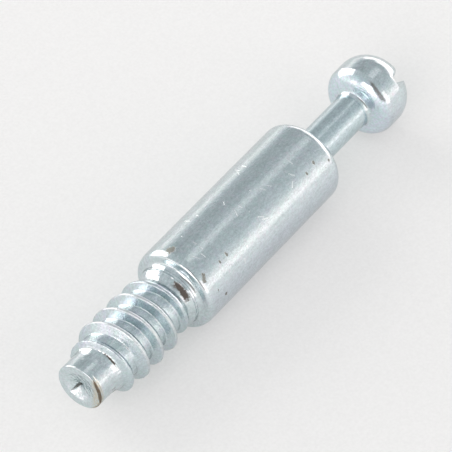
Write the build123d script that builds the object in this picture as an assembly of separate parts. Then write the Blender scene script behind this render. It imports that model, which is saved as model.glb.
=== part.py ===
from build123d import *
from math import acos, cos, degrees, radians, sin, tan
import os

# Cam dowel for flat-pack furniture panels: one cold-formed, zinc-plated steel pin. Millimetres.
# It lies on its barrel along X. The origin is on its axis, in the plane where the plain collar meets
# the shoulder. The thread runs towards -X and the slotted head towards +X.

# Driving dimensions of the barrel
barrel_diameter = 7.0
barrel_length = 18.0
shoulder_cone_angle = 25.0
shoulder_edge_radius = 1.1
barrel_end_radius = 0.9

# Driving dimensions of the collar: a cone from the thread's core, then a short plain part
collar_diameter = 5.25
collar_length = 0.35
collar_cone_angle = 32.0

# Driving dimensions of the tip, measured from its end face
thread_length = 11.2
tip_diameter = 3.9
tip_length = 1.85
tip_edge_radius = 0.25
tip_dish_diameter = 2.8
tip_dish_floor_diameter = 1.3
tip_dish_depth = 0.42

# Driving dimensions of the thread
thread_diameter = 5.86
core_diameter = 4.5
core_cone_angle = 33.7
pitch = 1.72
crest_width = 0.14
flank_angle = 33.0
thread_start_distance = 1.37
thread_start_turn = 0.33
thread_stop_gap = 0.456
start_run_out_turns = 1.75
stop_run_out_turns = 1.7
ridge_root_depth = 0.15
ridge_start_depth = 0.05
ridge_stop_depth = 0.275
sections_per_turn = 18

# Driving dimensions of the neck
neck_diameter = 3.0
neck_length = 6.5
neck_barrel_fillet = 0.25
neck_head_fillet = 0.4

# Driving dimensions of the head
head_diameter = 6.15
head_length = 3.9
head_cone_angle = 18.0
head_corner_radius = 1.4
head_crown_length = 1.55
head_crown_drop = 0.63

# Driving dimensions of the driver slot
slot_width = 1.0
slot_depth = 1.3
slot_turn_angle = 49.0

# Radii and stations along X that follow from them
barrel_radius = barrel_diameter / 2
collar_radius = collar_diameter / 2
crest_radius = thread_diameter / 2
core_radius = core_diameter / 2
tip_radius = tip_diameter / 2
neck_radius = neck_diameter / 2
head_radius = head_diameter / 2

tip_x = -thread_length
head_x = barrel_length + neck_length
end_x = head_x + head_length


def corner_round(centre_x, centre_radius, radius, first_angle, last_angle):
    """An arc of the profile; angles in degrees, 0 towards +X and 90 away from the axis."""

    def at(angle):
        return (centre_x + radius * cos(radians(angle)), centre_radius + radius * sin(radians(angle)))

    return ThreePointArc(at(first_angle), at((first_angle + last_angle) / 2), at(last_angle))


def largest_round(step, cone_angle):
    """The radius of the round that would take up the whole step from a cone's foot to a side."""
    return step / (1 - sin(radians(cone_angle)))


# Rounds, each no larger than the step that it takes up
shoulder_round = min(
    shoulder_edge_radius, 0.95 * largest_round(barrel_radius - collar_radius, shoulder_cone_angle)
)
head_round = min(head_corner_radius, 0.8 * largest_round(head_radius - neck_radius, head_cone_angle))


def turned_profile():
    """Half of the pin's lengthwise section, without the thread and the slot."""
    # The shoulder is a shallow cone, tangent to the round that leads into the barrel's side
    shoulder_lean = radians(shoulder_cone_angle)
    shoulder_edge = barrel_radius - shoulder_round * (1 - sin(shoulder_lean))
    shoulder_edge_x = (shoulder_edge - collar_radius) * tan(shoulder_lean)
    barrel_side_x = shoulder_edge_x + shoulder_round * cos(shoulder_lean)
    barrel_end_round_x = barrel_length - barrel_end_radius

    # The head's underside is a shallow cone too, tangent to its corner round
    head_lean = radians(head_cone_angle)
    head_edge = head_radius - head_round * (1 - sin(head_lean))
    head_edge_x = head_x + (head_edge - neck_radius) * tan(head_lean)
    head_side_x = head_edge_x + head_round * cos(head_lean)

    # The head's end is crowned: an arc, tangent to its side, that ends at the flat face
    crown_radius = (head_crown_length ** 2 + head_crown_drop ** 2) / (2 * head_crown_drop)
    crown_end_angle = degrees(acos(head_crown_length / crown_radius))
    crown_x = end_x - head_crown_length

    # The core grows from the tip's radius, and the collar from the core's, over short cones
    core_x = tip_x + tip_length + (core_radius - tip_radius) / tan(radians(core_cone_angle))
    collar_foot_x = -collar_length - (collar_radius - core_radius) / tan(radians(collar_cone_angle))

    with BuildSketch(Plane.XY) as profile:
        with BuildLine():
            Polyline(
                (tip_x + tip_dish_depth, 0),
                (tip_x + tip_dish_depth, tip_dish_floor_diameter / 2),
                (tip_x, tip_dish_diameter / 2),
                (tip_x, tip_radius - tip_edge_radius),
            )
            corner_round(tip_x + tip_edge_radius, tip_radius - tip_edge_radius, tip_edge_radius, 180, 90)
            Polyline(
                (tip_x + tip_edge_radius, tip_radius),
                (tip_x + tip_length, tip_radius),
                (core_x, core_radius),
                (collar_foot_x, core_radius),
                (-collar_length, collar_radius),
                (0, collar_radius),
                (shoulder_edge_x, shoulder_edge),
            )
            corner_round(
                barrel_side_x, barrel_radius - shoulder_round, shoulder_round,
                180 - shoulder_cone_angle, 90,
            )
            Line((barrel_side_x, barrel_radius), (barrel_end_round_x, barrel_radius))
            corner_round(barrel_end_round_x, barrel_radius - barrel_end_radius, barrel_end_radius, 90, 0)
            Polyline(
                (barrel_length, barrel_radius - barrel_end_radius),
                (barrel_length, neck_radius),
                (head_x, neck_radius),
                (head_edge_x, head_edge),
            )
            corner_round(head_side_x, head_radius - head_round, head_round, 180 - head_cone_angle, 90)
            Line((head_side_x, head_radius), (crown_x, head_radius))
            corner_round(crown_x, head_radius - crown_radius, crown_radius, 90, crown_end_angle)
            Polyline((end_x, head_radius - head_crown_drop), (end_x, 0), (tip_x + tip_dish_depth, 0))
        make_face()
    return profile.sketch


def turned_body():
    """The profile turned about X, with a fillet at each end of the neck."""
    body = revolve(turned_profile(), axis=Axis.X)

    def neck_circles():
        circles = body.edges().filter_by(GeomType.CIRCLE)
        return circles.filter_by(lambda edge: abs(edge.radius - neck_radius) < 0.001).sort_by(Axis.X)

    body = fillet(neck_circles().first, neck_barrel_fillet)
    return fillet(neck_circles().last, neck_head_fillet)


def thread_turns():
    """The right-hand thread, turn by turn; it rises out of the tip and sinks into the collar."""
    foot_radius = tip_radius - ridge_root_depth
    start_x = tip_x + thread_start_distance
    turn_count = (-thread_stop_gap - start_x) / pitch

    def crest_radius_at(turn):
        # Both run-outs are parabolas that reach the full crest with no kink
        rise = min(1, turn / start_run_out_turns)
        fall = min(1, (turn_count - turn) / stop_run_out_turns)
        lowest_at_tip = tip_radius - ridge_start_depth
        lowest_at_collar = collar_radius - ridge_stop_depth
        rising = crest_radius - (crest_radius - lowest_at_tip) * (1 - rise) ** 2
        falling = crest_radius - (crest_radius - lowest_at_collar) * (1 - fall) ** 2
        return min(rising, falling)

    def section(turn):
        crest = crest_radius_at(turn)
        middle_x = start_x + pitch * turn
        half_crest = crest_width / 2
        half_foot = half_crest + (crest - foot_radius) * tan(radians(flank_angle))
        # Turns are counted from +Z towards -Y, the way a right-hand helix winds towards +X
        angle = 360 * (thread_start_turn + turn)
        radial_plane = Plane((0, 0, 0), x_dir=(1, 0, 0), z_dir=Vector(0, -1, 0).rotate(Axis.X, angle))
        corners = [
            (middle_x - half_foot, foot_radius),
            (middle_x - half_crest, crest),
            (middle_x + half_crest, crest),
            (middle_x + half_foot, foot_radius),
        ]
        return Wire.make_polygon([radial_plane.from_local_coords(corner) for corner in corners])

    count = round(turn_count * sections_per_turn)
    sections = [section(turn_count * index / count) for index in range(count + 1)]
    # Neighbouring turns share the section between them
    return [
        Solid.make_loft(sections[first:first + sections_per_turn + 1])
        for first in range(0, count, sections_per_turn)
    ]


def driver_slot():
    """The straight slot across the head's end, turned from +Z towards -Y."""
    across = 2 * head_diameter
    slot = Box(across, slot_width, across, align=(Align.MIN, Align.CENTER, Align.CENTER))
    return Pos(end_x - slot_depth, 0, 0) * Rot(X=slot_turn_angle) * slot


cam_dowel = turned_body().fuse(*thread_turns()) - driver_slot()

os.makedirs("parts", exist_ok=True)
export_step(cam_dowel, "parts/cam_dowel.step")
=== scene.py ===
import math

import bpy
from mathutils import Matrix, Vector, noise


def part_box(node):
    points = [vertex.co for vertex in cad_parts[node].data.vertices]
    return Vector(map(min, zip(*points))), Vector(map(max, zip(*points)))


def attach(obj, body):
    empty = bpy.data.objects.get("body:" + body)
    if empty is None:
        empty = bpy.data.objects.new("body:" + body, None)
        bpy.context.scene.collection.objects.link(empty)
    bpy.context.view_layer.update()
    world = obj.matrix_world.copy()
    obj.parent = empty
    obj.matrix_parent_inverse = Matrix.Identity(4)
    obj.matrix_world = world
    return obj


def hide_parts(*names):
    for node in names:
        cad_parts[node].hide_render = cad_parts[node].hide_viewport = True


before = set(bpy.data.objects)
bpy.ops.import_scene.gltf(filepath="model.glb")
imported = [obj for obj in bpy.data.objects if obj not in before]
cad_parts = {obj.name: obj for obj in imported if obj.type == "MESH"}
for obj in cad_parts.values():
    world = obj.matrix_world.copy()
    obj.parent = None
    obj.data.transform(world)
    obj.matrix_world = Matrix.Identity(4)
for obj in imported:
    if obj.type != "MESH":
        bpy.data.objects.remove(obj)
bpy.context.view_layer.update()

# The dowel lies along X with its thread towards -X; sizes here are in millimetres and metres come last
MM = 0.001
dowel_low, dowel_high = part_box("cam_dowel")

# Turned body
TIP_START = dowel_low[0] / MM
HEAD_END = dowel_high[0] / MM
BARREL_R = 3.494
BARREL_END = 18.0
COLLAR_START = -0.78
COLLAR_EDGE = -0.23
COLLAR_R = 2.607
CORE_R = 2.25
TIP_R = 1.95
TIP_LENGTH = 1.85
TIP_EDGE = 0.09
CORE_CONE = math.tan(math.radians(19.0))
NECK_R = 1.5
HEAD_START = 24.5
HEAD_R = 3.073
CROWN_LENGTH = 1.55
CROWN_DROP = 0.63
CROWN_R = (CROWN_LENGTH ** 2 + CROWN_DROP ** 2) / (2 * CROWN_DROP)

# Two fine rings round the collar as (station, height), and their half width
COLLAR_RINGS = ((COLLAR_EDGE + 0.01, 0.022), (0.03, 0.022))
RING_HALF_WIDTH = 0.05

# The side that faces the camera, as an angle from +Z towards -Y and as a direction, and the side below it
VIEW_SIDE = 29.2
VIEW_DIRECTION = (0.0, -0.487, 0.873)
LOWER_DIRECTION = (0.0, -0.873, -0.488)

# Thread
PITCH = 1.72
CREST_R = 2.93
CREST_HALF_WIDTH = 0.055
TIP_ROUNDING = 0.03
HEAD_ROUNDING = 0.20
TIP_FLANK = math.tan(math.radians(23.0))
HEAD_FLANK = math.tan(math.radians(31.0))
THREAD_START = -9.83
THREAD_STOP = -0.456
START_TURN = 0.33
START_RUN_OUT = 1.75
STOP_RUN_OUT = 1.7
STOP_R = 2.35
TURNS = (THREAD_STOP - THREAD_START) / PITCH
ROOT_FILLET = 0.06

# Dent in the tip's face; its lowest point lies so far from the axis, up the side that faces the camera
# and across it
DENT_DEPTH = 0.60
DENT_LOW = (-0.62, -0.05)
DENT_RIM = 1.40

# Crack through the dent's lowest point: its half length, and its line across the face
CRACK_HALF_LENGTH = 0.62
CRACK_OFFSET = -0.09
CRACK_SLOPE = 0.15

# Fold behind the tip's rim, from the tip's end, and how wide the slot's near lip is worn round
FOLD_STATION = 0.36
LIP_WIDTH = 0.34

# Slot in the head
SLOT_WIDTH = 1.0
SLOT_DEPTH = 1.3
SLOT_TURN = 49.0

# Mesh
COLUMNS = 228
ZONE_START = -10.35
ZONE_STOP = -0.36


def smooth_step(low, high, value):
    t = min(1.0, max(0.0, (value - low) / (high - low)))
    return t * t * (3 - 2 * t)


def soft_max(a, b, width):
    return (a + b + math.sqrt((a - b) ** 2 + width * width)) / 2


def soft_min(a, b, width):
    return (a + b - math.sqrt((a - b) ** 2 + width * width)) / 2


def grain(x, angle, radius, scale, seed):
    """Smooth noise on the surface, from -1 to 1, about scale millimetres wide."""
    place = Vector((x, radius * math.sin(angle), radius * math.cos(angle))) / scale
    return noise.noise(place + Vector((seed * 7.3, seed * 3.1, seed * 5.7)))


def core_radius(x):
    """Radius of the body under the thread."""
    cone = TIP_R + (x - (TIP_START + TIP_LENGTH)) * CORE_CONE
    core = soft_max(TIP_R, soft_min(cone, CORE_R, 0.04), 0.05)
    collar = CORE_R + (x - COLLAR_START) * (COLLAR_R - CORE_R) / (COLLAR_EDGE - COLLAR_START)
    rings = sum(
        height * math.exp(-((x - station) / RING_HALF_WIDTH) ** 2)
        for station, height in COLLAR_RINGS
    )
    return soft_max(core, soft_min(collar, COLLAR_R, 0.03), 0.05) - 0.01 + rings


def crest_radius(turn):
    rise = min(1.0, max(0.0, turn / START_RUN_OUT))
    fall = min(1.0, max(0.0, (TURNS - turn) / STOP_RUN_OUT))
    rising = CREST_R - (CREST_R - TIP_R + 0.05) * (1 - rise) ** 2
    falling = CREST_R - (CREST_R - STOP_R) * (1 - fall) ** 2
    return min(rising, falling)


def tip_flank(turn):
    """Run of the ridge's flank on the tip's side, for its height; the first turns lean more."""
    return TIP_FLANK + 0.18 * smooth_step(2.4, 1.9, turn) - 0.13 * smooth_step(1.4, 1.0, turn)


def head_rounding(turn):
    """How blunt the ridge's crest is towards the barrel; its end is smeared flat."""
    return HEAD_ROUNDING + 0.4 * smooth_step(3.9, 4.8, turn)


def ridge_wave(turn):
    """How far the ridge leaves its even helix."""
    return 0.03 * noise.noise(Vector((turn * 5.0, 3.3, 0.0)))


def thread_radius(x, angle):
    """Radius of the thread's ridge at a station and an angle from +Z towards -Y."""
    part = angle / math.tau - START_TURN
    turn_here = (x - THREAD_START) / PITCH
    best = 0.0
    first = math.floor(turn_here - part)
    for whole in (first, first + 1):
        turn = whole + part
        if not 0 <= turn <= TURNS:
            continue
        uneven = 0.022 * noise.noise(Vector((turn * 14.0, 0.0, 8.1)))
        offset = x - THREAD_START - PITCH * turn - ridge_wave(turn)
        away = max(0.0, abs(offset) - CREST_HALF_WIDTH)
        rounding = TIP_ROUNDING if offset < 0 else head_rounding(turn)
        flank = tip_flank(turn) if offset < 0 else HEAD_FLANK
        drop = (math.sqrt(away * away + rounding ** 2) - rounding) / flank
        best = max(best, crest_radius(turn) + uneven - drop)
    return best


def zone_radius(x, angle):
    core = core_radius(x)
    ridge = thread_radius(x, angle)
    radius = soft_max(core, ridge, ROOT_FILLET) if ridge > 0 else core
    return radius + dents(x, angle, radius)


def dents(x, angle, radius):
    """Uneven metal in the thread, on the collar and most of all where the thread begins."""
    inside = smooth_step(ZONE_START, ZONE_START + 0.5, x) * smooth_step(0.25, -0.25, x)
    start = smooth_step(-9.9, -9.6, x) * smooth_step(-8.2, -8.9, x)
    collar = smooth_step(-1.1, -0.8, x)
    depth = 0.020 * grain(x, angle, radius, 0.55, 1)
    depth += (0.011 + 0.012 * collar) * grain(x, angle, radius, 0.24, 2)
    depth += start * 0.035 * grain(x, angle, radius, 0.27, 3)
    return inside * depth


def thread_height(x, radius):
    """0 outside the thread, 1 in its roots and 2 on its crests."""
    share = min(1.0, max(0.0, (radius - core_radius(x)) / (CREST_R - CORE_R)))
    between = smooth_step(THREAD_START + 0.75, THREAD_START + 1.15, x) * smooth_step(-0.9, -1.2, x)
    return max(between, smooth_step(0.0, 0.2, share)) + share


def arc(centre_x, centre_r, radius, first, last, count):
    """Stations on a round; angles in degrees, 0 towards +X and 90 away from the axis."""
    steps = [math.radians(first + (last - first) * i / count) for i in range(count + 1)]
    return [(centre_x + radius * math.cos(a), centre_r + radius * math.sin(a)) for a in steps]


def run(first, last, count, ends=0.04):
    """Stations on a straight run, close together at both ends."""
    length = math.dist(first, last)
    shares = [i / count for i in range(count + 1)]
    near = ends / length
    if near < 1 / count:
        shares = sorted(shares + [near, 1 - near])
    return [(first[0] + (last[0] - first[0]) * s, first[1] + (last[1] - first[1]) * s) for s in shares]


def join(*parts):
    """One list of stations without doubles."""
    out = []
    for part in parts:
        for point in part:
            if not out or math.dist(out[-1], point) > 0.004:
                out.append(point)
    return out


def tip_profile():
    """From the middle of the tip's face out over its edge to the thread."""
    face = [(TIP_START, 0.056 * (i + 1)) for i in range(33)]
    fold_x = TIP_START + FOLD_STATION
    return join(
        face,
        arc(TIP_START + TIP_EDGE, TIP_R - TIP_EDGE, TIP_EDGE, 180, 90, 6),
        [(fold_x + 0.03 * i, TIP_R) for i in range(-4, 5)],
        run((fold_x + 0.15, TIP_R), (ZONE_START, core_radius(ZONE_START)), 6, 0.03),
    )


def cone_and_round(foot_x, foot_r, side_r, lean, radius):
    """A shallow cone up to a round that is tangent to it and to a side; its stations and the side's start."""
    lean = math.radians(lean)
    edge_r = side_r - radius * (1 - math.sin(lean))
    edge_x = foot_x + (edge_r - foot_r) * math.tan(lean)
    side_x = edge_x + radius * math.cos(lean)
    return edge_x, edge_r, side_x


def bend_on(start, turns):
    """Stations of a profile that goes on from start, level at first.

    Each turn is a radius, the lean in degrees that it ends with, and how many steps it has. Where the lean
    stays, the radius is the run's length instead."""
    x, r = start
    lean = 0.0
    out = [start]
    for size, next_lean, count in turns:
        step = math.radians(next_lean - lean) / count
        advance = size * abs(step) if step else size / count
        for number in range(count):
            middle = math.radians(lean) + step * (number + 0.5)
            x += advance * math.cos(middle)
            r += advance * math.sin(middle)
            out.append((x, r))
        lean = next_lean
    return out


def rear_profile():
    """From the collar over the barrel, neck and head to the middle of the head's end."""
    # From the collar a fillet leads into the steep shoulder, and two rounds lead on into the side
    last_lean = 18.0
    collar = [(ZONE_STOP + 0.025 * i, core_radius(ZONE_STOP + 0.025 * i)) for i in range(17)]
    shoulder = bend_on((0.06, core_radius(0.06)), [
        (0.30, 12.0, 3), (0.50, 45.0, 9), (0.30, 66.0, 5), (0.25, 78.0, 3), (0.30, 78.0, 5),
        (0.28, 26.0, 12), (0.5, last_lean, 3),
    ])
    edge_x, edge_r = shoulder[-1]
    last_round = (BARREL_R - edge_r) / (1 - math.cos(math.radians(last_lean)))
    side_x = edge_x + last_round * math.sin(math.radians(last_lean))
    shoulder = join(collar, shoulder, arc(side_x, BARREL_R - last_round, last_round, 90 + last_lean, 90, 8))
    end_r = 0.9
    neck_fillet = 0.25
    head_lean, corner = 18.0, 1.4
    head_edge_x, head_edge_r, head_side_x = cone_and_round(HEAD_START, NECK_R, HEAD_R, head_lean, corner)
    # The underside's round ends in a blunt corner, where the head's side begins
    lift, bend, crease = 0.03, 15.0, 0.10
    turn = math.radians(bend)
    side = (
        head_side_x - (corner - crease) * math.sin(turn),
        HEAD_R - corner + lift + (corner - crease) * math.cos(turn) + crease,
    )
    slope = math.tan(math.radians(head_lean))
    bends = [(0.55, 36.0, 6), (0.06, 60.0, 4), (0.9, 90 - head_lean, 3)]
    bend_x, bend_r = bend_on((0.0, NECK_R), bends)[-1]
    fillet = bend_on((HEAD_START + (bend_r - NECK_R) * slope - bend_x, NECK_R), bends)
    crown_x = HEAD_END - CROWN_LENGTH
    crown_end = math.degrees(math.acos(CROWN_LENGTH / CROWN_R))
    face_r = HEAD_R - CROWN_DROP
    rise = HEAD_R - side[1]
    head_side = [
        (side[0] + (crown_x - side[0]) * share, side[1] + rise * smooth_step(0, 1, share))
        for share in (0.12, 0.3, 0.5, 0.7, 0.88, 1)
    ]
    return join(
        shoulder,
        run((side_x, BARREL_R), (BARREL_END - end_r, BARREL_R), 14),
        arc(BARREL_END - end_r, BARREL_R - end_r, end_r, 90, 0, 14),
        arc(BARREL_END + neck_fillet, NECK_R + neck_fillet, neck_fillet, 180, 270, 7),
        run((BARREL_END + neck_fillet, NECK_R), fillet[0], 6),
        fillet,
        run(fillet[-1], (head_edge_x, head_edge_r), 4),
        arc(head_side_x, HEAD_R - corner + lift, corner, 180 - head_lean, 90 + bend, 18),
        arc(side[0], side[1] - crease, crease, 90 + bend, 90, 6),
        head_side,
        arc(crown_x, HEAD_R - CROWN_R, CROWN_R, 90, crown_end, 12),
        arc(HEAD_END - 0.12, face_r - 0.06, 0.12, 40, 0, 3),
        [(HEAD_END, face_r * s) for s in (0.8, 0.55, 0.3)],
    )


def tip_face_sink(radius, angle):
    """How far the tip's face is sunk, by the dent that upsetting left in it."""
    y = radius * math.sin(angle)
    z = radius * math.cos(angle)
    turn = math.radians(VIEW_SIDE)
    along = y * math.sin(turn) + z * math.cos(turn)
    across = y * math.cos(turn) - z * math.sin(turn)
    # The dent is a cone with its lowest point off the middle: 0 there and 1 on its rim
    rim = DENT_RIM + 0.05 * math.sin(angle + 0.6) + 0.03 * math.sin(3 * angle + 1.0)
    low_along, low_across = DENT_LOW
    step = (along - low_along, across - low_across)
    size = max(1e-6, math.hypot(*step))
    ahead = (low_along * step[0] + low_across * step[1]) / size
    reach = -ahead + math.sqrt(ahead ** 2 + rim ** 2 - low_along ** 2 - low_across ** 2)
    share = 1 - size / reach
    lumps = 0.04 * noise.noise(Vector((y * 2.2, z * 2.2, 4.0)))
    lumps += 0.025 * noise.noise(Vector((y * 5.0, z * 5.0, 9.0)))
    # A ragged crack runs across its lowest point
    middle = CRACK_OFFSET + CRACK_SLOPE * along + 0.12 * noise.noise(Vector((along * 3.5, 2.0, 0.0)))
    end_share = 1 - ((along - low_along) / CRACK_HALF_LENGTH) ** 2
    crack = 0.16 * math.exp(-((across - middle) / 0.08) ** 2) * max(0.0, end_share) ** 0.5
    sink = DENT_DEPTH * soft_min(soft_max(share, 0.0, 0.05), 0.9, 0.1)
    sink += (lumps + 0.03) * smooth_step(1.65, 0.9, radius) + crack - 0.01
    return max(0.0, sink)


def tip_side_fold(x, angle):
    """Depth of the fold behind the tip's rim, deepest below."""
    depth = 0.035 * smooth_step(0.0, 0.8, math.sin(angle - math.radians(10)))
    middle = TIP_START + FOLD_STATION - 0.06 * math.cos(angle - math.radians(120))
    return depth * math.exp(-((x - middle) / 0.05) ** 2)


def slot_lip(x, radius, angle):
    """Where a point of the head's end moves to beside the slot's near end, whose one edge is worn round."""
    turn = math.radians(SLOT_TURN)
    across = radius * math.sin(turn - angle)
    away = across - SLOT_WIDTH / 2
    if radius * math.cos(turn - angle) < 0 or across < 0 or away > LIP_WIDTH:
        return x, radius
    near = min(1.0, 1.0 - away / LIP_WIDTH)
    sink = 0.6 * LIP_WIDTH * (1 - math.sqrt(1 - near * near))
    sink *= smooth_step(HEAD_END - SLOT_DEPTH, HEAD_END - SLOT_DEPTH + 0.3, x)
    ahead = max(0.0, x - (HEAD_END - CROWN_LENGTH)) / CROWN_R
    return x - sink * ahead, radius - sink * math.sqrt(1 - ahead * ahead)


# Rows of the mesh on the ridge's side towards the head, on its side towards the tip and in the root
HEAD_SHARES = (0.04, 0.09, 0.15, 0.23, 0.33, 0.47, 0.64, 0.82, 0.94, 1.0)
TIP_SHARES = (0.05, 0.10, 0.18, 0.30, 0.45, 0.60, 0.75, 0.87, 0.95, 1.0)
ROOT_SHARES = (0.05, 0.13, 0.26, 0.42, 0.58, 0.74, 0.87, 0.95)


def helix_rows(turn):
    """Offsets of the rows from one turn's crest to the next one's, set to the ridge's height."""
    height = max(0.12, crest_radius(turn) - CORE_R)
    after = max(0.12, crest_radius(turn + 1) - CORE_R)
    half = CREST_HALF_WIDTH
    head_side = height * HEAD_FLANK + 0.7 * HEAD_ROUNDING
    tip_side = after * tip_flank(turn + 1) + TIP_ROUNDING
    root = PITCH - 2 * half - head_side - tip_side
    offsets = [0.0, half]
    offsets += [half + head_side * share for share in HEAD_SHARES]
    offsets += [half + head_side + root * share for share in ROOT_SHARES]
    offsets += [PITCH - half - tip_side * share for share in reversed(TIP_SHARES)]
    offsets.append(PITCH - half)
    first, last = ridge_wave(turn), ridge_wave(turn + 1)
    return [offset + first + (last - first) * offset / PITCH for offset in offsets]


ROWS = len(helix_rows(2.0))


def column_stations(index):
    """Stations of the thread's zone on one column as (row name, x); a row goes on from column to column."""
    shift = index / COLUMNS - START_TURN
    out = []
    first = math.floor((ZONE_START - THREAD_START) / PITCH - shift) - 1
    last = math.ceil((ZONE_STOP - THREAD_START) / PITCH - shift) + 1
    for whole in range(first, last + 1):
        for number, offset in enumerate(helix_rows(whole + shift)):
            x = THREAD_START + PITCH * (whole + shift) + offset
            if ZONE_START + 0.03 < x < ZONE_STOP - 0.03:
                out.append((whole * ROWS + number, x))
    return out


def dowel_mesh():
    """The whole dowel as one closed mesh, its rows following the thread where there is one."""
    front = tip_profile()
    rear = rear_profile()
    verts = []
    heights = []
    columns = []

    def add(x, radius, angle, height=0.0):
        verts.append((x * MM, -radius * math.sin(angle) * MM, radius * math.cos(angle) * MM))
        heights.append(height)
        return len(verts) - 1

    for index in range(COLUMNS):
        angle = math.tau * index / COLUMNS
        column = []
        for number, (x, radius) in enumerate(front[:-1]):
            sink = tip_face_sink(radius, angle) if x < TIP_START + 0.10 else 0.0
            fold = tip_side_fold(x, angle) if x > TIP_START + 0.15 else 0.0
            column.append((("f", number), add(x + sink, radius - fold, angle), x))
        last_x = front[-1][0]
        column.append((("f", len(front) - 1), add(last_x, zone_radius(last_x, angle), angle), last_x))
        for name, x in column_stations(index):
            radius = zone_radius(x, angle)
            column.append((("h", name), add(x, radius, angle, thread_height(x, radius)), x))
        for number, (x, radius) in enumerate(rear):
            if number == 0:
                radius = zone_radius(x, angle)
            elif x < 0.25:
                radius += dents(x, angle, radius)
            if x > HEAD_END - CROWN_LENGTH - 0.2:
                x, radius = slot_lip(x, radius, angle)
            column.append((("r", number), add(x, radius, angle), x))
        columns.append(column)

    faces = []
    for index in range(COLUMNS):
        left = columns[index]
        right = columns[(index + 1) % COLUMNS]
        if index == COLUMNS - 1:
            # Round the seam a row of the thread goes on one turn further
            right = [
                ((kind, name - ROWS * (kind == "h")), vert, x)
                for (kind, name), vert, x in right
            ]
        i = j = 0
        while i < len(left) - 1 or j < len(right) - 1:
            go_left = i < len(left) - 1
            go_right = j < len(right) - 1
            if go_left and go_right and left[i + 1][0] == right[j + 1][0]:
                faces.append((left[i][1], left[i + 1][1], right[j + 1][1], right[j][1]))
                i += 1
                j += 1
            elif go_left and (not go_right or left[i + 1][2] < right[j + 1][2]):
                faces.append((left[i][1], left[i + 1][1], right[j][1]))
                i += 1
            else:
                faces.append((left[i][1], right[j + 1][1], right[j][1]))
                j += 1

    tip_middle = add(TIP_START + tip_face_sink(0, 0), 0, 0)
    end_middle = add(HEAD_END, 0, 0)
    for index in range(COLUMNS):
        here = columns[index]
        after = columns[(index + 1) % COLUMNS]
        faces.append((here[0][1], after[0][1], tip_middle))
        faces.append((after[-1][1], here[-1][1], end_middle))

    mesh = bpy.data.meshes.new("cam_dowel_metal")
    mesh.from_pydata(verts, [], faces)
    heights_layer = mesh.attributes.new("thread_height", "FLOAT", "POINT")
    heights_layer.data.foreach_set("value", heights)
    mesh.validate()
    return mesh


def add_object(name, mesh):
    made = bpy.data.objects.new(name, mesh)
    bpy.context.scene.collection.objects.link(made)
    return made


def cut_slot(dowel):
    """The driver slot, cut out of the head by a box."""
    length, reach = 3.0, 9.0
    corners = [(x, y, z) for x in (0, 1) for y in (-0.5, 0.5) for z in (-0.5, 0.5)]
    quads = [(0, 1, 3, 2), (4, 6, 7, 5), (0, 4, 5, 1), (2, 3, 7, 6), (0, 2, 6, 4), (1, 5, 7, 3)]
    box = bpy.data.meshes.new("slot_cutter")
    box.from_pydata(corners, [], quads)
    size = Matrix.Diagonal((length * MM, SLOT_WIDTH * MM, reach * MM, 1))
    turn = Matrix.Rotation(math.radians(SLOT_TURN), 4, "X")
    place = Matrix.Translation(((HEAD_END - SLOT_DEPTH) * MM, 0, 0))
    box.transform(place @ turn @ size)
    cutter = add_object("slot_cutter", box)
    boolean = dowel.modifiers.new("slot", "BOOLEAN")
    boolean.operation = "DIFFERENCE"
    boolean.solver = "EXACT"
    boolean.object = cutter
    graph = bpy.context.evaluated_depsgraph_get()
    cut = bpy.data.meshes.new_from_object(dowel.evaluated_get(graph))
    dowel.modifiers.clear()
    old = dowel.data
    dowel.data = cut
    cut.name = "cam_dowel_metal"
    bpy.data.meshes.remove(old)
    bpy.data.objects.remove(cutter)
    bpy.data.meshes.remove(box)


class Nodes:
    """Short calls for building a node tree."""

    def __init__(self, tree):
        self.tree = tree
        tree.nodes.clear()

    def node(self, kind, inputs=None, **settings):
        made = self.tree.nodes.new(kind)
        for key, value in settings.items():
            setattr(made, key, value)
        for key, value in (inputs or {}).items():
            if isinstance(value, bpy.types.NodeSocket):
                self.tree.links.new(value, made.inputs[key])
            else:
                made.inputs[key].default_value = value
        return made

    def math(self, operation, first, second=0.0, third=0.0, clamp=False):
        inputs = {0: first, 1: second, 2: third}
        return self.node("ShaderNodeMath", inputs, operation=operation, use_clamp=clamp).outputs[0]

    def total(self, *values):
        out = values[0]
        for value in values[1:]:
            out = self.math("ADD", out, value)
        return out

    def product(self, *values):
        out = values[0]
        for value in values[1:]:
            out = self.math("MULTIPLY", out, value)
        return out

    def ranged(self, value, low, high, to_low=0.0, to_high=1.0, smooth=True):
        kind = "SMOOTHSTEP" if smooth else "LINEAR"
        inputs = {"Value": value, "From Min": low, "From Max": high, "To Min": to_low, "To Max": to_high}
        return self.node("ShaderNodeMapRange", inputs, interpolation_type=kind).outputs[0]

    def mix(self, factor, first, second, blend="MIX"):
        made = self.node("ShaderNodeMix", {0: factor}, data_type="RGBA", blend_type=blend)
        for key, value in ((6, first), (7, second)):
            if isinstance(value, bpy.types.NodeSocket):
                self.tree.links.new(value, made.inputs[key])
            else:
                made.inputs[key].default_value = (*value, 1.0)
        return made.outputs[2]

    def ramp(self, value, stops):
        made = self.node("ShaderNodeValToRGB", {0: value})
        elements = made.color_ramp.elements
        while len(elements) < len(stops):
            elements.new(0.5)
        for element, (position, level) in zip(elements, stops):
            element.position = position
            element.color = (level, level, level, 1.0)
        return made.outputs[0]

    def vector(self, operation, first, second=None, scale=None):
        inputs = {0: first}
        if second is not None:
            inputs[1] = second
        if scale is not None:
            inputs["Scale"] = scale
        return self.node("ShaderNodeVectorMath", inputs, operation=operation)

    def toward(self, place, direction):
        return self.vector("DOT_PRODUCT", place, direction).outputs["Value"]

    def noise(self, vector, scale, detail=2.0, roughness=0.5):
        inputs = {"Vector": vector, "Scale": scale, "Detail": detail, "Roughness": roughness}
        return self.node("ShaderNodeTexNoise", inputs).outputs[0]


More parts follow.
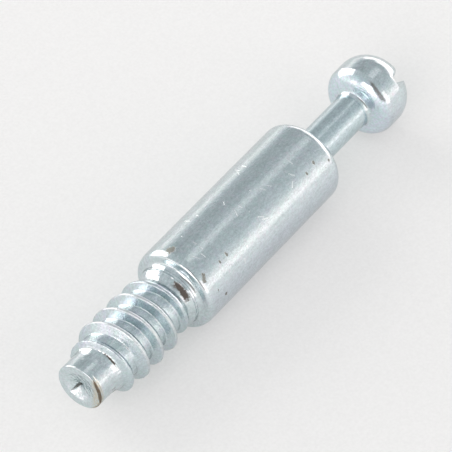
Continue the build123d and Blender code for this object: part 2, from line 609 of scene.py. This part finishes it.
# Marks on the metal as (x, angle from +Z towards -Y in degrees, radius there, width along X, width round it):
# dark specks, dark brown patches that are painted reflections of the camera, and bright nicks
DARK_SPECKS = [
    (1.33, -13, 3.45, 0.85, 0.75),
    (1.00, 47, 3.45, 0.34, 0.40),
    (1.11, 44, 3.45, 0.30, 0.40),
    (1.22, 41, 3.45, 0.34, 0.40),
    (2.48, 85, 3.49, 0.24, 0.32),
    (1.75, 70, 3.49, 0.14, 0.16),
    (14.51, 45, 3.49, 0.26, 0.34),
    (15.64, 41, 3.49, 0.28, 0.36),
    (3.14, 44, 3.49, 0.22, 0.30),
    (4.03, 43, 3.49, 0.26, 0.40),
    (17.0, 53, 3.47, 0.20, 0.26),
    (-2.52, 79, 2.6, 0.45, 0.16),
    (-9.29, 119, 2.0, 0.45, 0.18),
    (-9.60, 100, 1.95, 0.35, 0.15),
]
# Painted reflection: dark brown patches where the metal mirrors the dark camera, two on the collar and a
# narrow one behind the tip
PAINTED_CAMERA_REFLECTIONS = [
    (-0.44, 30, 2.47, 0.40, 1.1),
    (-0.48, 46, 2.47, 0.46, 1.2),
    (-8.91, 35, 2.13, 0.14, 1.3),
]
BRIGHT_NICKS = [
    (8.2, 27, 3.49, 0.10, 0.06),
    (5.48, -23, 3.49, 0.14, 0.30),
    (9.80, 9, 3.49, 0.14, 0.20),
    (6.05, 55, 3.49, 0.18, 0.16),
]
# Scratches on the barrel as (x, angle, x, angle, width), from end to end
SCRATCHES = [
    (1.75, 14, 1.99, 23, 0.09),
    (2.97, -17, 2.92, 4, 0.05),
    (2.92, 4, 2.87, 18, 0.05),
    (2.45, 21, 2.48, 27, 0.08),
    (4.72, -34, 4.71, -25, 0.10),
    (7.36, -3, 7.62, -7, 0.06),
    (7.20, 20, 7.46, 12, 0.08),
    (8.02, 12, 8.06, 17, 0.06),
    (10.80, -21, 11.50, -36, 0.10),
    (11.86, -30, 11.82, -22, 0.09),
    (11.30, -26, 11.20, -31, 0.08),
    (10.47, 16, 10.68, 22, 0.09),
    (11.05, 19, 11.30, 24, 0.08),
    (8.46, 39, 8.87, 44, 0.09),
    (8.61, 45, 9.12, 49, 0.09),
    (12.67, 44, 13.00, 39, 0.10),
    (13.26, 29, 13.51, 35, 0.10),
    (14.16, 17, 14.18, 23, 0.09),
    (5.19, 71, 5.31, 65, 0.09),
]


def surface_point(x, degrees, radius):
    angle = math.radians(degrees)
    return Vector((x, -radius * math.sin(angle), radius * math.cos(angle)))


def marks(n, place, ragged, rows):
    """A mask of small ragged marks on the surface."""
    out = 0.0
    for x, degrees, radius, along, around in rows:
        away = n.vector("SUBTRACT", place, surface_point(x, degrees, radius)[:]).outputs[0]
        size = n.vector("MULTIPLY", away, (2 / along, 2 / around, 2 / around)).outputs[0]
        distance = n.vector("LENGTH", size).outputs["Value"]
        mark = n.ranged(n.math("ADD", distance, ragged), 1.1, 0.75)
        out = mark if out == 0.0 else n.math("MAXIMUM", out, mark)
    return out


def scratches(n, place, ragged):
    """A mask of thin lines across the barrel."""
    out = 0.0
    for first_x, first_turn, last_x, last_turn, width in SCRATCHES:
        first = surface_point(first_x, first_turn, BARREL_R)
        line = surface_point(last_x, last_turn, BARREL_R) - first
        away = n.vector("SUBTRACT", place, first[:]).outputs[0]
        share = n.vector("DOT_PRODUCT", away, (line / line.length_squared)[:]).outputs["Value"]
        nearest = n.vector("SCALE", line[:], scale=n.math("ADD", share, 0.0, clamp=True)).outputs[0]
        distance = n.vector("LENGTH", n.vector("SUBTRACT", away, nearest).outputs[0]).outputs["Value"]
        mark = n.ranged(n.math("ADD", n.product(distance, 1.6 / width), ragged), 1.1, 0.5)
        out = mark if out == 0.0 else n.math("MAXIMUM", out, mark)
    return out


def zinc_material():
    made = bpy.data.materials.new("bright_zinc")
    made.use_nodes = True
    n = Nodes(made.node_tree)
    metres = n.node("ShaderNodeTexCoord").outputs["Object"]
    place = n.vector("SCALE", metres, scale=1 / MM).outputs[0]
    parts = n.node("ShaderNodeSeparateXYZ", {0: place})
    x, y, z = parts.outputs[0], parts.outputs[1], parts.outputs[2]
    turned = n.math("ARCTAN2", n.math("MULTIPLY", y, -1.0), z)

    # The thread's own masks, and a coordinate that counts its turns
    height = n.node("ShaderNodeAttribute", attribute_name="thread_height").outputs["Fac"]
    in_thread = n.ranged(height, 0.6, 1.0)
    root = n.product(in_thread, n.ranged(height, 1.55, 1.02))
    crest = n.ranged(height, 1.86, 1.98)
    turn = n.math("SUBTRACT", n.product(x, 1 / PITCH), n.product(turned, 1 / math.tau))

    # Plating: patches of slightly bluer and greener white metal
    cloud = n.noise(place, 0.9, 3.0, 0.6)
    fine = n.noise(place, 5.0, 3.0, 0.6)
    color = n.mix(n.ranged(cloud, 0.35, 0.65), (0.625, 0.715, 0.725), (0.655, 0.725, 0.75))
    hue = n.noise(n.vector("ADD", place, (17.0, 5.0, 3.0)).outputs[0], 1.7, 2.0)
    lavender = n.product(n.ranged(hue, 0.52, 0.68), n.math("ADD", n.product(in_thread, 0.7), 0.3))
    color = n.mix(lavender, color, (0.64, 0.675, 0.76))
    green = n.product(n.ranged(hue, 0.46, 0.32), n.math("ADD", n.product(in_thread, 0.8), 0.2))
    color = n.mix(green, color, (0.60, 0.73, 0.70))
    color = n.mix(n.product(in_thread, 0.3), color, (0.62, 0.70, 0.79))

    # Painted shade: the thread's metal is darker and grey-green, less so towards the upper side where
    # highlights fall; crests are worn bare
    upper_side = n.toward(place, (0.0, 0.326, 0.946))
    thread_painted_shade = n.product(in_thread, n.ranged(fine, 0.3, 0.62, 0.3, 1.0), n.ranged(upper_side, 2.3, 1.7, 0.1, 1.0))
    color = n.mix(n.product(thread_painted_shade, 0.55), color, (0.57, 0.68, 0.685))
    color = n.mix(n.product(crest, 0.4), color, (0.76, 0.77, 0.77))

    # Grain of the plating, as fine as the picture shows, in short streaks along the barrel
    streaks = n.noise(n.vector("MULTIPLY", place, (0.45, 1.0, 1.0)).outputs[0], 5.0, 4.0, 0.75)
    speckle = n.noise(place, 7.0, 4.0, 0.75)
    under = n.product(
        n.ranged(x, HEAD_START - 0.1, HEAD_START + 0.2),
        n.ranged(x, HEAD_START + 1.0, HEAD_START + 0.6),
    )
    tone = n.total(0.375, n.product(streaks, 0.65), n.product(speckle, 0.60), n.product(under, 0.12))
    tint = n.noise(n.vector("ADD", place, (3.0, 11.0, 7.0)).outputs[0], 3.5, 3.0, 0.6)
    color = n.mix(n.ranged(tint, 0.52, 0.75), color, n.mix(0.5, color, (0.72, 0.68, 0.74)))
    color = n.mix(n.ranged(tint, 0.48, 0.25), color, n.mix(0.5, color, (0.56, 0.72, 0.70)))
    under_color = n.mix(n.ranged(tint, 0.42, 0.58), (0.56, 0.71, 0.74), (0.63, 0.67, 0.79))

    # Faint tints of the head's underside; painted reflection, lavender, on the barrel's lower side; and
    # painted shade, darker and greener, on the neck
    color = n.mix(n.product(under, 0.55), color, under_color)
    # Painted reflection: lavender on the barrel's lower side, towards the floor
    low_side = n.ranged(n.toward(place, LOWER_DIRECTION), 1.4, 2.8)
    color = n.mix(n.product(low_side, n.ranged(x, 0.6, 1.2), 0.35), color, (0.665, 0.685, 0.765))
    # Painted shade: the neck darker and greener than the barrel and head
    neck = n.product(
        n.ranged(x, BARREL_END, BARREL_END + 0.2),
        n.ranged(x, HEAD_START - 0.1, HEAD_START - 0.4),
    )
    color = n.mix(n.product(neck, 0.4), color, (0.53, 0.67, 0.71))
    color = n.vector("SCALE", color, scale=tone).outputs[0]

    # Dark specks; dark brown patches that are painted reflections of the camera; and bright nicks and
    # scratches
    ragged = n.product(n.math("SUBTRACT", n.noise(place, 7.0, 3.0, 0.6), 0.5), 1.6)
    specks = marks(n, place, ragged, DARK_SPECKS)
    painted_reflections = marks(n, place, ragged, PAINTED_CAMERA_REFLECTIONS)
    nicks = n.math("MAXIMUM", marks(n, place, ragged, BRIGHT_NICKS), scratches(n, place, ragged))
    color = n.mix(n.product(nicks, 0.7), color, (0.88, 0.92, 0.92))
    color = n.mix(n.product(specks, 0.75), color, (0.20, 0.19, 0.15))
    # Painted reflection: the camera's dark mirror image on the collar and behind the tip
    color = n.mix(n.product(painted_reflections, 0.9), color, (0.085, 0.062, 0.045))

    # Brown dirt on the tip's rim, painted shade in dark brown on the rim's lower side, beige on the part of
    # its face beside it, and painted shade that darkens the crack in its dent
    outward = n.math("POWER", n.total(n.product(y, y), n.product(z, z)), 0.5)
    near_face = n.ranged(x, TIP_START + 0.16, TIP_START + 0.06)
    rim_edge = n.product(
        n.ranged(n.toward(place, (0.0, -0.9617, 0.2722)), 1.54, 1.72),
        n.ranged(n.math("ADD", outward, n.product(ragged, 0.05)), 1.66, 1.74),
        near_face,
    )
    rim_below = n.product(
        n.ranged(n.toward(place, LOWER_DIRECTION), 1.55, 1.8),
        n.ranged(outward, 1.78, 1.88),
        near_face,
    )
    rim_face = n.product(
        n.ranged(n.toward(place, (0.0, -0.999, 0.014)), 1.0, 1.35),
        n.ranged(x, TIP_START + 0.5, TIP_START + 0.2),
    )
    color = n.mix(n.product(rim_face, n.ranged(fine, 0.3, 0.6), 0.75), color, (0.62, 0.56, 0.43))
    # Painted shade: dark brown on the lower side of the tip's rim
    color = n.mix(n.product(rim_below, 0.6), color, (0.22, 0.18, 0.12))
    color = n.mix(n.product(rim_edge, n.ranged(fine, 0.25, 0.5, 0.7, 1.0), 0.95), color, (0.15, 0.115, 0.08))
    rim = n.math("MAXIMUM", rim_edge, n.product(rim_face, 0.5))
    across = n.toward(place, LOWER_DIRECTION)
    along = n.toward(place, VIEW_DIRECTION)
    middle = n.math("ADD", n.math("MULTIPLY_ADD", along, CRACK_SLOPE, CRACK_OFFSET), n.product(ragged, 0.10))
    off_end = n.product(n.math("ADD", along, -DENT_LOW[0]), 1 / CRACK_HALF_LENGTH)
    half = n.math("MULTIPLY_ADD", n.product(off_end, off_end), -0.13, 0.13)
    off_middle = n.math("ABSOLUTE", n.math("SUBTRACT", across, middle))
    crack = n.product(
        n.ranged(n.math("SUBTRACT", off_middle, half), 0.03, -0.04),
        n.ranged(x, TIP_START + 0.95, TIP_START + 0.9),
    )
    # Painted shade: the crack in the dent darkened
    color = n.mix(n.product(crack, 0.8), color, (0.12, 0.12, 0.11))

    # Fine relief: drawing lines along the barrel, lines round the thread, and grain in its roots
    stretched = n.vector("MULTIPLY", place, (0.35, 1.0, 1.0)).outputs[0]
    drawn = n.noise(stretched, 6.0, 3.0, 0.65)
    waves = n.noise(place, 1.6, 2.0)
    lines = n.math("SINE", n.math("ADD", n.product(turn, math.tau * 9), n.product(fine, 5.0)))
    pits = n.noise(place, 8.0, 3.0, 0.7)
    relief = n.total(
        n.product(drawn, 0.0050),
        n.product(waves, 0.0070),
        n.product(lines, in_thread, 0.0010),
        n.product(pits, n.math("ADD", n.product(in_thread, 0.012), 0.0022)),
        n.product(n.math("MAXIMUM", specks, nicks), -0.006),
    )
    bump = n.node("ShaderNodeBump", {"Strength": 1.0, "Distance": MM, "Height": relief})

    crisp = n.math(
        "MAXIMUM",
        n.product(n.ranged(x, -0.6, -0.2), n.ranged(x, 1.3, 0.9)),
        n.ranged(x, HEAD_START - 0.2, HEAD_START),
    )
    roughness = n.total(
        n.ranged(cloud, 0.3, 0.7, 0.13, 0.20, smooth=False),
        n.product(crisp, -0.06),
        n.product(root, 0.05),
        n.product(n.ranged(height, 1.75, 1.95), 0.12),
        n.product(n.math("MAXIMUM", specks, painted_reflections), 0.35),
        n.product(rim, 0.25),
        n.product(crack, 0.3),
    )
    surface = n.node(
        "ShaderNodeBsdfPrincipled",
        {
            "Base Color": color, "Metallic": 1.0, "Roughness": roughness, "Normal": bump.outputs[0],
            "Specular Tint": (0.84, 0.84, 0.84, 1.0),
        },
    )
    n.node("ShaderNodeOutputMaterial", {"Surface": surface.outputs[0]})
    return made


def floor_material():
    """White paper; to the eye and in the metal a part of it is a plain pale backdrop."""
    made = bpy.data.materials.new("white_sheet")
    made.use_nodes = True
    n = Nodes(made.node_tree)
    place = n.node("ShaderNodeTexCoord").outputs["Object"]
    grain = n.ranged(n.noise(place, 4500.0, 2.0), 0.3, 0.7, 0.97, 1.03, smooth=False)
    tone = n.vector("SCALE", (0.900, 0.913, 0.905), scale=grain).outputs[0]
    paper = n.node("ShaderNodeBsdfDiffuse", {"Color": tone, "Roughness": 0.5})
    backdrop = n.node("ShaderNodeEmission", {"Color": (1.0, 1.0, 1.0, 1.0), "Strength": 1.0})
    ray = n.node("ShaderNodeLightPath")
    seen = n.math("ADD", ray.outputs["Is Camera Ray"], ray.outputs["Is Glossy Ray"])
    seen = n.math("ADD", seen, ray.outputs["Is Transmission Ray"], clamp=True)
    share = n.product(seen, 0.24)
    surface = n.node("ShaderNodeMixShader", {0: share, 1: paper.outputs[0], 2: backdrop.outputs[0]})
    n.node("ShaderNodeOutputMaterial", {"Surface": surface.outputs[0]})
    return made


def window(n, direction, azimuth, half_width, edge, low, high, fade, lean=0.0):
    """A soft-edged part of the tent, 0 to 1. Angles are degrees round Z from +X, heights are sines.

    The azimuth is the middle's at height 0.5, and lean is how much it grows towards height 0."""
    turn = math.radians(azimuth)
    toward = n.vector("DOT_PRODUCT", direction, (math.cos(turn), math.sin(turn), 0.0)).outputs["Value"]
    beside = n.vector("DOT_PRODUCT", direction, (-math.sin(turn), math.cos(turn), 0.0)).outputs["Value"]
    height = n.toward(direction, (0.0, 0.0, 1.0))
    lean_here = n.product(n.math("SUBTRACT", height, 0.5), math.radians(lean) * 2)
    angle = n.math("ABSOLUTE", n.math("ADD", n.math("ARCTAN2", beside, toward), lean_here))
    half = math.radians(half_width)
    soft = math.radians(edge) / 2
    return n.product(
        n.ranged(angle, half + soft, half - soft),
        n.ranged(height, low - fade / 2, low + fade / 2),
        n.ranged(height, high + fade / 2, high - fade / 2),
    )


def add_world():
    """A light tent: bright low walls and a darker roof, with windows and the dark camera between them."""
    world = bpy.data.worlds.new("light_tent")
    bpy.context.scene.world = world
    world.use_nodes = True
    n = Nodes(world.node_tree)
    direction = n.node("ShaderNodeTexCoord").outputs["Generated"]
    parts = n.node("ShaderNodeSeparateXYZ", {0: direction})
    height = n.math("MULTIPLY_ADD", parts.outputs["Z"], 0.5, 0.5)
    brightest = 2.0

    def stops(pairs):
        return [((z + 1) / 2, level / brightest) for z, level in pairs]

    # Walls by the sine of their height: beyond the head's end to the left and right, and all the rest
    left = n.ramp(height, stops([
        (-0.10, 0.85), (-0.03, 1.0), (0.02, 1.17), (0.10, 1.13), (0.19, 0.95), (0.27, 0.76), (0.38, 0.56),
        (0.52, 0.50), (0.72, 0.50), (0.80, 0.60),
    ]))
    right = n.ramp(height, stops([
        (-0.10, 0.87), (-0.02, 1.03), (0.03, 1.22), (0.10, 1.32), (0.20, 1.29), (0.27, 1.13), (0.32, 1.03),
        (0.40, 0.86), (0.54, 0.71), (0.62, 0.63), (0.76, 0.58), (0.80, 0.60),
    ]))
    rest = n.ramp(height, stops([
        (-0.15, 0.95), (0.05, 1.10), (0.20, 1.13), (0.35, 1.02), (0.45, 0.92), (0.65, 0.78), (0.75, 0.70),
        (0.85, 0.62),
    ]))
    side = n.ranged(parts.outputs["Y"], -0.35, 0.25)
    ahead = n.mix(side, right, left)
    wall = n.product(n.mix(n.ranged(parts.outputs["X"], 0.1, 0.5), rest, ahead), brightest)

    near_left = n.math("MAXIMUM", window(n, direction, 188, 19, 8, 0.42, 0.74, 0.10),
                       window(n, direction, 195, 13, 8, 0.24, 0.55, 0.10, 8))
    level = n.total(
        wall,
        n.product(window(n, direction, 0, 12, 10, 0.79, 0.90, 0.04), 0.28),
        n.product(window(n, direction, 150, 8, 8, 0.12, 0.46, 0.12), 0.40),
        n.product(near_left, 1.6),
        n.product(window(n, direction, 267, 13, 10, 0.0, 0.58, 0.14), 0.55),
        n.product(window(n, direction, -7, 28, 8, 0.05, 0.49, 0.10), 1.0),
        n.product(window(n, direction, 31, 9, 8, 0.03, 0.30, 0.10), 0.8),
    )
    dark = window(n, direction, 233, 15, 9, 0.14, 0.94, 0.12, 14)
    level = n.product(level, n.math("MULTIPLY_ADD", dark, -0.6, 1.0))
    tint = n.mix(n.ranged(level, 0.6, 1.1), (0.95, 1.0, 1.03), (1.03, 1.0, 0.985))
    tint = n.mix(n.ranged(level, 1.05, 1.5), tint, (1.12, 1.0, 0.99))
    tint = n.mix(dark, tint, (1.09, 0.99, 0.95))
    color = n.vector("SCALE", tint, scale=level).outputs[0]
    background = n.node("ShaderNodeBackground", {"Color": color, "Strength": 1.0})
    n.node("ShaderNodeOutputWorld", {"Surface": background.outputs[0]})


def add_lamp(name, direction, distance, width, height, radiance, target=(0.008, 0, 0)):
    """A soft box. Radiance 1 is as bright as white paper at the plain level."""
    lamp = bpy.data.lights.new(name, "AREA")
    lamp.shape = "RECTANGLE"
    lamp.size = width
    lamp.size_y = height
    lamp.energy = radiance * math.pi * width * height
    lamp.color = (1.0, 0.93, 0.89)
    made = add_object(name, lamp)
    away = Vector(direction).normalized()
    made.location = Vector(target) + away * distance
    made.rotation_mode = "QUATERNION"
    made.rotation_quaternion = away.to_track_quat("Z", "Y")
    return made


def add_camera():
    """At the photograph's place, found by fitting a pinhole camera to the outline."""
    camera = bpy.data.cameras.new("camera")
    camera.sensor_width = 36.0
    camera.lens = 329.5
    camera.clip_start = 0.01
    camera.clip_end = 20.0
    made = add_object("camera", camera)
    azimuth, elevation, distance = math.radians(-54.7), math.radians(46.0), 0.3134
    level = math.cos(elevation)
    look = Vector((-math.sin(azimuth) * level, math.cos(azimuth) * level, -math.sin(elevation)))
    made.location = Vector((7.99, 0.45, 0.53)) * MM - look * distance
    made.rotation_mode = "QUATERNION"
    made.rotation_quaternion = look.to_track_quat("-Z", "Y")
    bpy.context.scene.camera = made


def add_floor():
    half = 0.6
    level = -BARREL_R * MM - 0.000001
    corners = [(-half, -half, level), (half, -half, level), (half, half, level), (-half, half, level)]
    mesh = bpy.data.meshes.new("sheet")
    mesh.from_pydata(corners, [], [(0, 1, 2, 3)])
    made = add_object("sheet", mesh)
    mesh.materials.append(floor_material())


scene = bpy.context.scene
scene.view_settings.view_transform = "Standard"

add_camera()
add_world()
add_lamp("key", (0.048, 0.926, 0.375), 0.6, 0.46, 0.485, 2.2)
add_floor()

dowel = add_object("dowel", dowel_mesh())
cut_slot(dowel)
for polygon in dowel.data.polygons:
    polygon.use_smooth = True
dowel.data.set_sharp_from_angle(angle=math.radians(38))
dowel.data.materials.clear()
dowel.data.materials.append(zinc_material())
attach(dowel, "root")
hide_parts("cam_dowel")
